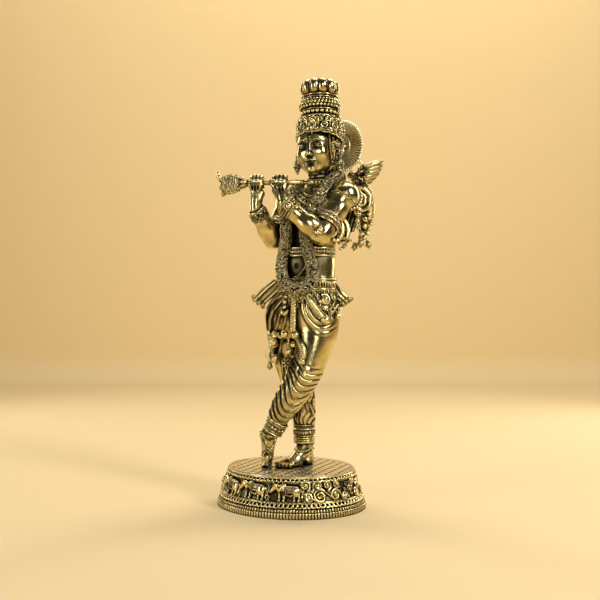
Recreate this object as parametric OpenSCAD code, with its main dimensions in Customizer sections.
// Cast brass figure of a standing flute player on an oval pedestal.
// Frame: millimetres, +Z up, origin at the centre of the pedestal's foot.
// The figure faces -Y and its left hand side is +X.

/* [Pedestal] */
// Long axis of the foot
base_len = 109; // [100:1:118]
// Short axis of the foot
base_wid = 93; // [86:1:100]
// Long axis of the deck
deck_len = 91; // [86:1:95]
// Short axis of the deck
deck_wid = 78; // [74:1:80]
// Height of the deck above the table
base_h = 27; // [25:1:29]
// Wall thickness of the hollow shell
wall_t = 3; // [2:0.5:4]

/* [Fixings] */
// Radius of the studs that hold the feet
stud_r = 1.5; // [1.2:0.1:1.8]
// Distance across the nuts' corners, halved
nut_r = 3; // [2.6:0.1:3.4]

/* [Flute] */
// Radius of the flute's tube
flute_r = 2; // [1.6:0.1:2.2]
// Radial clearance of the flute in the hands
flute_fit = 0.06; // [0.02:0.01:0.1]

/* [Crown and disc] */
// Radius of the ribbed disc behind the head
disc_r = 20; // [17:0.5:21]
// Radius of the lobed finial on the crown
finial_r = 14; // [12:0.5:14.5]

/* [Hidden] */

brass = [0.72, 0.58, 0.28];
dark_brass = [0.50, 0.40, 0.20];
steel = [0.62, 0.62, 0.60];
thin = 0.01;
skirt_h = 6;
deck_t = 2.5;
shell_top = base_h - deck_t;

// Joint centres of the figure, on the right and on the left side
foot_r = [5, 1, base_h];
foot_l = [-12.5, -11.5, base_h];
ankle_r = [7, 7.5, 43];
ankle_l = [-9.5, -11, 52];
knee_r = [1, 6, 92];
knee_l = [15, -9, 93];
hip_r = [-5, 3, 136];
hip_l = [20, 1, 136];
shoulder_r = [-6.5, 7, 218];
shoulder_l = [42.5, -1, 218];
elbow_r = [-9.5, -10, 189];
elbow_l = [30, -16, 190];
wrist_r = [-15.5, -25, 209];
wrist_l = [6, -25, 212];
head_c = [20.5, 0.5, 253];
crown_c = [22, 1.5, 262];
disc_c = [28.5, 25, 258.5];
head_yaw = 4;
disc_yaw = -15;

// The flute's ends: near the chin, and the far end with the flowers
flute_near = [28, -11, 227.2];
flute_far = [-26.5, -25.6, 228.2];
flute_dir = (flute_far - flute_near) / norm(flute_far - flute_near);
grip_l = flute_near + 29 * flute_dir;
grip_r = flute_near + 45 * flute_dir;

function tilt(v) = [0, acos(v[2] / norm(v)), atan2(v[1], v[0])];
function mix(a, b, t) = a + t * (b - a);

// Primitives that are placed by two points
module rod(a, b, r1, r2) {
    translate(a) rotate(tilt(b - a)) cylinder(h = norm(b - a), r1 = r1, r2 = r2, $fn = 32);
}
module sleeve(a, b, outer, inner) {
    translate(a) rotate(tilt(b - a)) difference() {
        cylinder(h = norm(b - a), r = outer, $fn = 48);
        translate([0, 0, -1]) cylinder(h = norm(b - a) + 2, r = inner, $fn = 48);
    }
}
module ball(p, r, sides = 16) {
    translate(p) sphere(r = r, $fn = sides);
}
module bone(a, b, ra, rb) {
    hull() {
        ball(a, ra);
        ball(b, rb);
    }
}
module slice(s) {
    translate(s[0]) rotate([0, 0, s[3]]) linear_extrude(thin) scale([s[1], s[2]]) circle(r = 1, $fn = 24);
}
// A skin over a stack of oval slices, each [centre, half width, half depth, yaw]
module stack(slices) {
    for (i = [0 : len(slices) - 2]) hull() {
        slice(slices[i]);
        slice(slices[i + 1]);
    }
}
module oval(len, wid, h, top_len, top_wid) {
    linear_extrude(height = h, scale = [top_len / len, top_wid / wid], slices = 1)
        polygon([for (a = [0 : 5 : 355]) [len / 2 * cos(a), wid / 2 * sin(a)]]);
}

// Pedestal
module pedestal_solid(grow = 0) {
    oval(base_len + 2 * grow, base_wid + 2 * grow, skirt_h, base_len + 2 * grow, base_wid + 2 * grow);
    translate([0, 0, skirt_h])
        oval(base_len - 3 + 2 * grow, base_wid - 3 + 2 * grow, shell_top - skirt_h,
             deck_len + 1 + 2 * grow, deck_wid + 1 + 2 * grow);
}
module stud_holes(r) {
    for (p = [foot_r, foot_l]) translate([p[0], p[1], -1]) cylinder(h = base_h + 2, r = r, $fn = 32);
}
module pedestal_shell() {
    color(brass) difference() {
        pedestal_solid();
        translate([0, 0, -thin])
            oval(base_len - 2 * wall_t - 3, base_wid - 2 * wall_t - 3, shell_top - wall_t,
                 deck_len - 2 * wall_t, deck_wid - 2 * wall_t);
        stud_holes(stud_r + 0.1);
    }
}
module deck_plate() {
    color(brass) translate([0, 0, shell_top]) difference() {
        oval(deck_len, deck_wid, deck_t, deck_len, deck_wid);
        stud_holes(stud_r + 0.1);
    }
}
module trim_ring(z, h, len, wid, t) {
    color(brass) translate([0, 0, z]) difference() {
        oval(len + 2 * t, wid + 2 * t, h, len + 2 * t, wid + 2 * t);
        translate([0, 0, -1]) oval(len, wid, h + 2, len, wid);
    }
}
module upper_loop_trim() {
    trim_ring(shell_top, 2, deck_len, deck_wid, 0.9);
}
module lower_loop_trim() {
    trim_ring(skirt_h, 3.2, base_len - 3, base_wid - 3, 1);
}
// Raised areas that follow the slanted wall, each from one angle to another, of thickness t
module wall_patches(spans, t, z0, z1) {
    intersection() {
        difference() {
            pedestal_solid(t);
            pedestal_solid(0);
        }
        translate([0, 0, z0]) linear_extrude(z1 - z0)
            for (s = spans) polygon([[0, 0], for (i = [0 : 8]) 90 * [cos(mix(s[0], s[1], i / 8)), sin(mix(s[0], s[1], i / 8))]]);
    }
}
module scroll_panel_left() {
    color(brass) wall_patches([[-48, 36]], 1, 10, 24);
}
module scroll_panel_right() {
    color(brass) wall_patches([[144, 224]], 1, 10, 24);
}
module scroll_panel_rear() {
    color(brass) wall_patches([[42, 138]], 1, 10, 24);
}
module cow_relief() {
    color(brass) wall_patches([for (a = [-126, -108, -90, -72, -56]) [a - 6.5, a + 6.5]], 1.6, 10, 22);
}
module foot_studs() {
    color(steel) for (p = [foot_r, foot_l]) translate([p[0], p[1], 15]) cylinder(h = base_h - 8, r = stud_r, $fn = 32);
}
module stud_washers() {
    color(steel) for (p = [foot_r, foot_l]) translate([p[0], p[1], shell_top - wall_t - 0.8]) difference() {
        cylinder(h = 0.79, r = nut_r + 0.8, $fn = 32);
        translate([0, 0, -1]) cylinder(h = 3, r = stud_r + 0.1, $fn = 32);
    }
}
module stud_nuts() {
    color(steel) for (p = [foot_r, foot_l]) translate([p[0], p[1], shell_top - wall_t - 3.2]) difference() {
        cylinder(h = 2.4, r = nut_r, $fn = 6);
        translate([0, 0, -1]) cylinder(h = 5, r = stud_r, $fn = 32);
    }
}

// Feet and legs
module stud_socket(p) {
    translate([p[0], p[1], base_h - 1]) cylinder(h = 8, r = stud_r, $fn = 32);
}
module right_foot() {
    color(brass) difference() {
        hull() {
            translate([10.5, 13, base_h]) cylinder(h = 7, r = 4.5, $fn = 20);
            translate([0.5, -8, base_h]) cylinder(h = 4, r = 5.5, $fn = 20);
            translate([-2, -13, base_h]) cylinder(h = 3, r = 4.5, $fn = 20);
            translate([ankle_r[0], ankle_r[1], ankle_r[2] - 1]) cylinder(h = 1, r = 5.8, $fn = 20);
        }
        stud_socket(foot_r);
    }
}
shin_l = (ankle_l - knee_l) / norm(ankle_l - knee_l);
module left_foot() {
    color(brass) difference() {
        hull() {
            translate([foot_l[0], foot_l[1], base_h]) cylinder(h = 3, r = 4.8, $fn = 20);
            ball([-12.5, -11.5, 37], 4.8);
            ball([-16, -11, 50], 3.4);
            rod(ankle_l, ankle_l + 1.5 * shin_l, 5, 5);
        }
        stud_socket(foot_l);
    }
}
module right_anklet() {
    color(brass) sleeve([ankle_r[0], ankle_r[1], 44], [ankle_r[0], ankle_r[1], 53], 7.8, 6.1);
}
module left_anklet() {
    color(brass) sleeve(ankle_l - 9 * shin_l, ankle_l - 0.5 * shin_l, 7.6, 5.7);
}
module lower_body() {
    color(brass) {
        stack([[ankle_r, 6, 6, 0], [[7, 7.5, 54], 6, 6, 0], [[5.5, 7.5, 66], 9.5, 9, 0],
               [knee_r, 12, 10.5, 0], [[-3, 5, 112], 14.5, 13, 0], [hip_r, 16, 15.5, 0]]);
        stack([[[17, -4, 93], 10, 11, 0], [[20, -2, 112], 13.5, 14, 0], [hip_l, 16, 16, 0]]);
        rod(ankle_l, ankle_l - 9.5 * shin_l, 5.6, 5.6);
        rod(ankle_l - 9.5 * shin_l, ankle_l - 24 * shin_l, 5.8, 10.5);
        hull() {
            rod(ankle_l - 24 * shin_l, ankle_l - 25 * shin_l, 10.5, 10.5);
            ball([14.5, -7, 92], 11);
        }
        stack([[[8, 2, 126], 26, 16, 0], [[8, 2, 140], 27, 18, 0], [[10, 2, 149], 23.5, 17, 0],
               [[11, 2, 152], 21.6, 16.4, 0], [[11, 2, 161], 21.6, 16.4, 0]]);
    }
}

// Torso, neck and head
module torso_solid() {
    stack([[[11, 2, 161.02], 21, 15.4, 0], [[12.5, 2, 170], 20, 14, 0], [[13, 2, 175.5], 19.6, 13.4, -3],
           [[13, 2, 183], 19.6, 13.4, -3], [[15, 2, 195], 20.5, 14, -7], [[17, 3, 206], 22.5, 15, -9],
           [[18, 3, 215], 23.5, 14, -9], [[18.5, 3.5, 222], 19, 11.5, -9], [[19.5, 4, 226], 9, 8, -9]]);
}
module torso() {
    color(brass) torso_solid();
}
module neck() {
    color(brass) translate([19.5, 4, 226]) cylinder(h = 12, r = 7, $fn = 32);
}
module head_solid() {
    hull() {
        translate(head_c) rotate([0, 0, head_yaw]) {
            ball([0, 1, 5], 13.6, 20);
            ball([0, -6, -8.5], 8.4, 20);
            ball([0, 4, -3], 12.6, 20);
        }
    }
}
module head() {
    color(brass) difference() {
        head_solid();
        translate([19.5, 4, 228]) cylinder(h = 10, r = 7.02, $fn = 32);
        translate(crown_c) cylinder(h = 40, r = 30, $fn = 16);
        crown_tiara();
    }
}
module hair_solid() {
    hull() {
        ball([25, 12, 254], 9.5);
        ball([26, 13, 244], 7.5);
    }
}
module hair_locks() {
    color(dark_brass) difference() {
        hair_solid();
        head_solid();
        crown_tiara();
        translate([19.5, 4, 222]) cylinder(h = 22, r = 7.3, $fn = 32);
        translate(crown_c) cylinder(h = 40, r = 30, $fn = 16);
    }
}
module earring(side) {
    translate(head_c) rotate([0, 0, head_yaw]) translate([side * 16.6, 2, 0])
        rotate_extrude($fn = 32) polygon([[0, -15.4], [1.4, -15], [1.9, -13.7], [1.2, -12.4], [2.6, -10.6],
                                          [2.2, -6.5], [1.7, -3], [0, -1]]);
}
module right_earring() {
    color(brass) earring(-1);
}
module left_earring() {
    color(brass) earring(1);
}

// Crown and ribbed disc
module crown_tiara() {
    color(brass) translate([crown_c[0], crown_c[1], crown_c[2] - 3]) difference() {
        cylinder(h = 3, r = 16.6, $fn = 64);
        translate([0, 0, -1]) cylinder(h = 5, r = 13, $fn = 64);
    }
}
module crown_drum() {
    color(brass) translate(crown_c) difference() {
        rotate_extrude($fn = 64) polygon([[0, 0], [16.6, 0], [16.4, 6], [14.8, 12], [12.4, 13], [12.4, 17],
                                          [14.5, 18.5], [14.5, 22], [12, 25], [11.6, 27.5], [0, 27.5]]);
        translate([0, 0, 20]) cylinder(h = 8, r = 3, $fn = 32);
    }
}
module crown_finial() {
    color(brass) translate([crown_c[0], crown_c[1], crown_c[2] + 27.5]) {
        rotate_extrude($fn = 64) polygon([[0, 0], [11.8, 0], [finial_r - 0.5, 4], [finial_r, 7.5], [finial_r - 2.5, 11.5], [0, 13]]);
        translate([0, 0, -7]) cylinder(h = 7.5, r = 3, $fn = 32);
    }
}
module face_disc() {
    translate(disc_c) rotate([0, 0, disc_yaw]) rotate([90, 0, 0]) children();
}
module sun_disc() {
    color(brass) face_disc() difference() {
        rotate_extrude($fn = 96) polygon([[0, -1], [disc_r, 0], [disc_r, 1.6], [9, 2.8], [0, 2.8]]);
        translate([0, 0, -3]) cylinder(h = 8, r = 2, $fn = 32);
    }
}
module disc_stem() {
    color(dark_brass) difference() {
        face_disc() translate([0, 0, -1.5]) cylinder(h = 8, r = 2, $fn = 32);
        hair_solid();
        head_solid();
    }
}

// Arms and hands
module right_upper_arm() {
    color(brass) difference() {
        union() {
            bone(shoulder_r, mix(shoulder_r, elbow_r, 0.45), 8, 6.6);
            rod(mix(shoulder_r, elbow_r, 0.4), elbow_r, 6.6, 6.6);
            ball(elbow_r, 6.6);
        }
        torso_solid();
    }
}
module left_upper_arm() {
    color(brass) difference() {
        union() {
            bone(shoulder_l, mix(shoulder_l, elbow_l, 0.45), 9, 7);
            rod(mix(shoulder_l, elbow_l, 0.4), elbow_l, 7, 7);
            ball(elbow_l, 7);
        }
        torso_solid();
    }
}
module forearm(elbow, wrist, big) {
    difference() {
        union() {
            bone(mix(elbow, wrist, 0.12), mix(elbow, wrist, 0.4), big, big);
            bone(mix(elbow, wrist, 0.4), mix(elbow, wrist, 0.62), big, 4.6);
            rod(mix(elbow, wrist, 0.6), wrist, 4.6, 4.6);
        }
        torso_solid();
    }
}
module right_forearm() {
    color(brass) difference() {
        forearm(elbow_r, wrist_r, 6.4);
        right_upper_arm();
    }
}
module left_forearm() {
    color(brass) difference() {
        forearm(elbow_l, wrist_l, 6.4);
        left_upper_arm();
    }
}
module flute_bore() {
    rod(flute_near - 20 * flute_dir, flute_far + 20 * flute_dir, flute_r + flute_fit, flute_r + flute_fit);
}
module hand(wrist, elbow, palm, grip) {
    reach = (wrist - elbow) / norm(wrist - elbow);
    difference() {
        hull() {
            rod(wrist, wrist + 0.8 * reach, 4.4, 4.4);
            ball(palm, 4.6);
            ball(grip, 4.6);
        }
        flute_bore();
    }
}
module right_hand() {
    color(brass) hand(wrist_r, elbow_r, [-18, -27, 221], grip_r);
}
module left_hand() {
    color(brass) hand(wrist_l, elbow_l, [0, -24.5, 221], grip_l);
}
module right_armlet() {
    color(brass) difference() {
        sleeve(mix(shoulder_r, elbow_r, 0.56), mix(shoulder_r, elbow_r, 0.72), 7.9, 6.7);
        torso_solid();
    }
}
module left_armlet() {
    color(brass) difference() {
        sleeve(mix(shoulder_l, elbow_l, 0.56), mix(shoulder_l, elbow_l, 0.74), 8.8, 7.1);
        torso_solid();
    }
}
module right_bangles() {
    color(brass) sleeve(mix(elbow_r, wrist_r, 0.66), mix(elbow_r, wrist_r, 0.99), 6.2, 4.7);
}
module left_bangles() {
    color(brass) sleeve(mix(elbow_l, wrist_l, 0.7), mix(elbow_l, wrist_l, 0.99), 6.6, 4.7);
}
module left_epaulette() {
    color(brass) difference() {
        rod(mix(shoulder_l, elbow_l, -0.02), mix(shoulder_l, elbow_l, 0.16), 10.6, 10);
        rod(mix(shoulder_l, elbow_l, -0.1), mix(shoulder_l, elbow_l, 0.3), 9.4, 8.8);
        torso_solid();
    }
}

// Jewellery and cloth on the body
module pectoral_collar() {
    color(dark_brass) difference() {
        intersection() {
            translate([0, -1.6, 0.4]) torso_solid();
            rotate([90, 0, 0]) linear_extrude(40) polygon([[9.5, 207.3], [8.3, 219.3], [21, 219.3], [15.5, 207.3]]);
        }
        torso_solid();
    }
}

// The garland's line: down from the left shoulder, round the belly and up to the right shoulder
garland_line = [[32, 12, 232], [35.5, 7.5, 233], [33, 3, 232.4], [30.4, -1.4, 229], [27.6, -8, 219], [22.5, -14, 208],
                [18.5, -16, 198], [18.5, -16, 188], [20, -15, 179], [22, -14.5, 171], [23.5, -15.5, 164],
                [23.5, -18, 157.5], [20, -20, 153.5], [15.5, -21, 152], [10, -21, 153], [4.5, -19.5, 157],
                [0.5, -16.5, 163.5], [-0.5, -14, 171], [0.5, -13.5, 179], [2.5, -14, 187], [3, -15, 196],
                [1.5, -13, 207], [2, -8, 217], [5, 0, 226], [7, 7, 229]];
garland_r = 4.4;
garland_sides = 8;
function unit(v) = v / norm(v);
function curve_at(p, t) =
    let (n = len(p) - 1, i = min(floor(t), n - 1), f = t - i,
         a = p[max(i - 1, 0)], b = p[i], c = p[i + 1], d = p[min(i + 2, n)])
    0.5 * (2 * b + f * (c - a) + f * f * (2 * a - 5 * b + 4 * c - d) + f * f * f * (3 * b - 3 * c + d - a));
// A tube of radius r along a smooth curve through the points p
module tube(p, r, rings, sides) {
    last = len(p) - 1;
    line = [for (k = [0 : rings]) curve_at(p, k * last / rings)];
    points = [for (k = [0 : rings])
        let (dir = unit(line[min(k + 1, rings)] - line[max(k - 1, 0)]),
             side = unit(cross(dir, [0.08, 0.95, 0.1])), up = cross(side, dir))
        for (j = [0 : sides - 1]) line[k] + r * (cos(360 * j / sides) * side + sin(360 * j / sides) * up)];
    faces = [for (k = [0 : rings - 1]) for (j = [0 : sides - 1])
        let (a = k * sides + j, b = k * sides + (j + 1) % sides)
        each [[a, b, b + sides], [a, b + sides, a + sides]]];
    polyhedron(points, concat(faces, [[for (j = [sides - 1 : -1 : 0]) j]],
                              [[for (j = [0 : sides - 1]) rings * sides + j]]));
}
module garland() {
    color(dark_brass) difference() {
        tube(garland_line, garland_r, 40, garland_sides);
        torso_solid();
        lower_body();
        bone(shoulder_l, elbow_l, 9.4, 9.4);
        bone(elbow_l, wrist_l, 7.6, 6);
    }
}
module oval_band(c, z, h, rx, ry, t) {
    translate([c[0], c[1], z]) difference() {
        oval(2 * (rx + t), 2 * (ry + t), h, 2 * (rx + t), 2 * (ry + t));
        translate([0, 0, -1]) oval(2 * rx, 2 * ry, h + 2, 2 * rx, 2 * ry);
    }
}
module belly_band() {
    color(brass) difference() {
        oval_band([13, 2], 176, 6, 19.4, 13.2, 1.3);
        torso_solid();
        garland();
    }
}
module waist_belt() {
    color(brass) difference() {
        oval_band([11, 2], 152.5, 7.5, 21.7, 16.5, 1.4);
        garland();
    }
}
// Cords that hang from the belt's clasp, each from top to bottom with the radius of its end ball
tassel_cords = [[[12, -20.5, 147], [9, -21, 126], 2.9], [[6, -20.5, 147], [3, -19.5, 141], 2.2],
                [[1, -18.5, 140], [-5, -17, 126], 2.6], [[-5, -17, 120], [-6, -16, 108], 2.6],
                [[12, -20, 122], [15, -18.5, 107], 2.7], [[5, -20, 120], [5.5, -19, 104], 3.2]];
module front_tassels() {
    color(brass) difference() {
        union() {
            for (c = tassel_cords) {
                bone(c[0], c[1], 2, 1.8);
                ball(c[1], c[2]);
            }
            ball([3.5, -20, 126], 2.8);
            ball([9.5, -20, 119], 2.4);
            hull() {
                ball([13, -18.5, 149], 2);
                ball([2, -18.5, 149], 2);
                ball([-4, -15.5, 112], 1.4);
                ball([13, -17, 112], 1.4);
            }
        }
        lower_body();
        waist_belt();
        garland();
    }
}
module sash_end(root, tip) {
    difference() {
        hull() {
            ball(root, 2.4);
            ball(tip + [0, 2, 1.5], 1.9);
            ball(tip + [0, -2, -1.5], 1.9);
        }
        lower_body();
        waist_belt();
    }
}
module right_sash_end() {
    color(brass) sash_end([-12, -6, 155], [-22, -8, 142]);
}
module left_sash_end() {
    color(brass) sash_end([34, 4, 154], [41, 5, 142]);
}
module hip_chains() {
    color(brass) difference() {
        union() {
            bone([25.5, -15.5, 149], [28.5, -14.5, 136], 1.9, 1.9);
            ball([29, -14, 133.5], 3);
            bone([32, -10, 148.5], [35.5, -7, 137], 1.9, 1.9);
        }
        lower_body();
    }
}

// Shawl, shoulder tassels and the drape below the elbow
module shawl_fan() {
    color(dark_brass) difference() {
        hull() {
            ball([41, 9, 228], 2.4);
            ball([47, 14, 231], 3);
            ball([52.8, 24, 242], 1.6);
            ball([52.8, 24, 235], 1.6);
        }
        torso_solid();
        left_upper_arm();
        left_epaulette();
        garland();
    }
}
module shoulder_tassels() {
    color(dark_brass) difference() {
        union() {
            bone([47, 12, 226], [50, 14, 208], 3, 3);
            bone([51, 14, 206], [51, 13, 191], 4.4, 3.6);
            ball([48.5, 12.5, 184.5], 3.6);
        }
        left_upper_arm();
        left_epaulette();
        left_armlet();
        shawl_fan();
    }
}
module elbow_drape() {
    color(dark_brass) difference() {
        hull() {
            ball([36, -6, 200], 2);
            ball([34, -8, 187], 2.2);
            ball([38, 2, 184], 2.2);
        }
        left_upper_arm();
        left_forearm();
        left_armlet();
        torso_solid();
        garland();
    }
}

// Flute
module flute() {
    color(brass) difference() {
        rod(flute_near, flute_far, flute_r, flute_r);
        rod(flute_near - 0.1 * flute_dir, flute_near + 24 * flute_dir, 1.1, 1.1);
    }
}
module flute_flowers() {
    tip = flute_far + 9 * flute_dir;
    color(brass) difference() {
        union() {
            rod(flute_far - 5 * flute_dir, flute_far + 3 * flute_dir, 2.6, 3.6);
            hull() {
                ball(flute_far + 3.5 * flute_dir + [0, 0, -1], 4.2);
                ball(tip + [0, 0, -3], 4.4);
                ball(tip + [0, 0, 3], 2.2);
            }
        }
        rod(flute_far - 7 * flute_dir, flute_far, flute_r, flute_r);
    }
}

pedestal_shell();
deck_plate();
upper_loop_trim();
lower_loop_trim();
cow_relief();
scroll_panel_left();
scroll_panel_right();
scroll_panel_rear();
foot_studs();
stud_washers();
stud_nuts();
right_foot();
left_foot();
right_anklet();
left_anklet();
lower_body();
torso();
neck();
head();
hair_locks();
right_earring();
left_earring();
crown_tiara();
crown_drum();
crown_finial();
sun_disc();
disc_stem();
right_upper_arm();
left_upper_arm();
right_forearm();
left_forearm();
right_hand();
left_hand();
right_armlet();
left_armlet();
right_bangles();
left_bangles();
left_epaulette();
pectoral_collar();
garland();
belly_band();
waist_belt();
front_tassels();
right_sash_end();
left_sash_end();
hip_chains();
shawl_fan();
shoulder_tassels();
elbow_drape();
flute();
flute_flowers();
